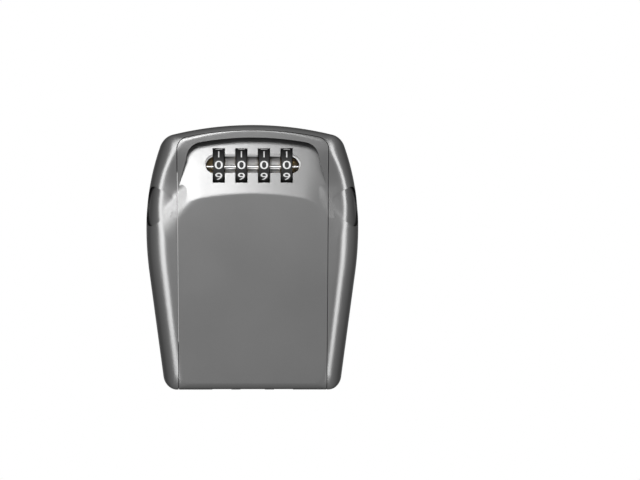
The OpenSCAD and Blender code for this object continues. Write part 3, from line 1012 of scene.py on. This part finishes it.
def wrapped(mesh, i, digit):
    """Slices a flat digit into strips and bends it around dial i."""
    strip = bmesh.new()
    strip.from_mesh(mesh)
    for step in range(-STRIP_CUTS, STRIP_CUTS + 1):
        everything = strip.verts[:] + strip.edges[:] + strip.faces[:]
        at = (0, step * STRIP_H, 0)
        bmesh.ops.bisect_plane(strip, geom=everything, plane_co=at, plane_no=(0, 1, 0))
    for v in strip.verts:
        turn = math.radians(DIGIT_START + DIGIT_TURN * digit) + v.co.y / DIGIT_R
        radius = DIGIT_R + v.co.z
        y = SHAFT.y - radius * math.cos(turn)
        z = SHAFT.z + radius * math.sin(turn)
        v.co = Vector((dial_x[i] + v.co.x, y, z))
    strip.to_mesh(mesh)
    strip.free()


def digit_band(i):
    """Ten digits wrapped around one dial's rim."""
    band = bmesh.new()
    for digit in range(10):
        mesh = glyph(str(digit))
        wrapped(mesh, i, digit)
        band.from_mesh(mesh)
        bpy.data.meshes.remove(mesh)
    name = f"digits_{i + 1}"
    mesh = bpy.data.meshes.new(name)
    band.to_mesh(mesh)
    band.free()
    made = bpy.data.objects.new(name, mesh)
    collection.objects.link(made)
    return made


print("digits, mm tall:", round(DIGIT_H / MM, 1))

# %% [markdown]
# ## Dials
#
# Each dial is a moulded ring with rounded edges, so it is turned from one
# closed profile. The digits are their own piece, so that they keep their own
# paint, and ride on the same dial.

# %% Dials
RIM_R = DIAL_R - 0.08 * MM
EDGE_R = 0.9 * MM
EDGE_STEPS = 8
HUB_R = 5.0 * MM
RING_STEPS = 128


def ring_profile():
    """Half of the ring's section and its mirror image, as (along X, radius)."""
    half = DIAL_W / 2
    turns = [math.radians(90 * k / EDGE_STEPS) for k in range(EDGE_STEPS + 1)]
    along = half - EDGE_R
    out = RIM_R - EDGE_R
    rounded = [(along + EDGE_R * math.cos(a), out + EDGE_R * math.sin(a)) for a in turns]
    right = [(half, HUB_R)] + rounded
    return right + [(-x, r) for x, r in reversed(right)]


for i in range(DIAL_COUNT):
    body = f"dial_{i + 1}"
    place = Vector((dial_x[i], SHAFT.y, SHAFT.z))
    ring = lathe_x(f"dial_ring_{i + 1}", place, ring_profile(), RING_STEPS, True)
    dress(ring, body, dial_black)
    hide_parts(body)
    dress(digit_band(i), body, digit_paint)
print("dials:", DIAL_COUNT, "with 10 digits each")

# %% [markdown]
# ## Camera
#
# The view is level and almost square to the front, from a little left of the
# middle. A long lens keeps the sides nearly parallel, and a small shift places
# the box left of the view's middle.

# %% Camera
CAMERA_AWAY = 1.2
CAMERA_TURN = math.radians(0.8)
camera_data = bpy.data.cameras.new("camera")
camera_data.lens = 138
camera_data.sensor_width = 36
camera_data.shift_x = 0.105
camera_data.shift_y = 0.027
camera = bpy.data.objects.new("camera", camera_data)
left = CAMERA_AWAY * math.sin(CAMERA_TURN)
forward = CAMERA_AWAY * math.cos(CAMERA_TURN)
camera.location = (-left, FRONT - forward, 0)
camera.rotation_euler = (math.radians(90), 0, -CAMERA_TURN)
collection.objects.link(camera)
bpy.context.scene.camera = camera
print("camera stands", CAMERA_AWAY, "m from the front")

# %% [markdown]
# ## Floor
#
# The box hangs on a wall, so the plain pale floor lies below its open doors.
# Around the box it keeps its shadow, and further out it fades to white for the
# eye, for gloss and for glass.

# %% Floor
FLOOR_REACH = 3.0
FLOOR_Z = -0.26
FADE_NEAR = 0.10
FADE_FAR = 0.45
FADE_LEAST = 0.78


def seen_directly(finish):
    """One for rays from the eye, off gloss and through glass, otherwise nought."""
    kinds = ("Is Camera Ray", "Is Glossy Ray", "Is Transmission Ray")
    rays = [finish.node("ShaderNodeLightPath", {}, {}, out=kind) for kind in kinds]
    return rays[0].most(rays[1]).most(rays[2])


pale = material("pale_floor")
pale.set(base_color=grey(0.85), roughness=0.9)
glow = pale.node("ShaderNodeEmission", {}, {"Color": grey(1.0)})
place = pale.node("ShaderNodeTexCoord", {}, {}, out="Object")
away = pale.node("ShaderNodeVectorMath", {"operation": "LENGTH"}, {"Vector": place}, out="Value")
limits = {"From Min": FADE_NEAR, "From Max": FADE_FAR, "To Min": FADE_LEAST, "To Max": 1.0}
fade = pale.node("ShaderNodeMapRange", {}, {"Value": away, **limits})
share = fade * seen_directly(pale)
matt = Wire(pale, pale.shader.outputs[0])
surface = pale.node("ShaderNodeMixShader", {}, {0: share, 1: matt, 2: glow})
pale.fill(pale.tree.nodes["Material Output"], {"Surface": surface})
corners = ((-1, -1), (1, -1), (1, 1), (-1, 1))
spread = [(x * FLOOR_REACH, y * FLOOR_REACH, FLOOR_Z) for x, y in corners]
floor = solid("floor", spread, [[0, 1, 2, 3]])
floor.data.materials.append(pale.owner)
print("floor lies at", FLOOR_Z, "m")

# %% [markdown]
# ## World
#
# The world is white to the eye, to gloss and to glass, and dimmer as a light,
# so it fills the shadows without washing out.

# %% World
WORLD_LIGHT = 0.35
world = bpy.data.worlds.new("studio")
bpy.context.scene.world = world
sky = Finish(world, "Background")
limits = {"To Min": WORLD_LIGHT, "To Max": 1.0}
strength = sky.node("ShaderNodeMapRange", {}, {"Value": seen_directly(sky), **limits})
sky.set(color=grey(1.0), strength=strength)
print("world lights the box at", WORLD_LIGHT)

# %% [markdown]
# ## Lamps
#
# Three soft lamps give the casting its bright cheeks: a strong one from the
# left, a weaker one from the right, and a small one above for the scoop.

# %% Lamps
AIM = Vector((0, -0.03, 0))


def lamp(name, place, size, power):
    """A rectangular softbox that faces the box."""
    data = bpy.data.lights.new(name, "AREA")
    data.shape = "RECTANGLE"
    data.size, data.size_y = size
    data.energy = power
    made = bpy.data.objects.new(name, data)
    made.location = place
    made.rotation_euler = (AIM - Vector(place)).to_track_quat("-Z", "Y").to_euler()
    collection.objects.link(made)


lamp("left_box", (-0.80, -0.80, 0.05), (0.70, 1.1), 18.0)
lamp("right_box", (0.88, -0.72, 0.0), (0.55, 1.1), 15.0)
lamp("top_box", (-0.20, -1.04, 0.50), (0.40, 0.30), 7.5)
print("three lamps ready")

# %% [markdown]
# ## Finish
#
# The view transform is set to Standard.

# %% View transform
bpy.context.scene.view_settings.view_transform = "Standard"
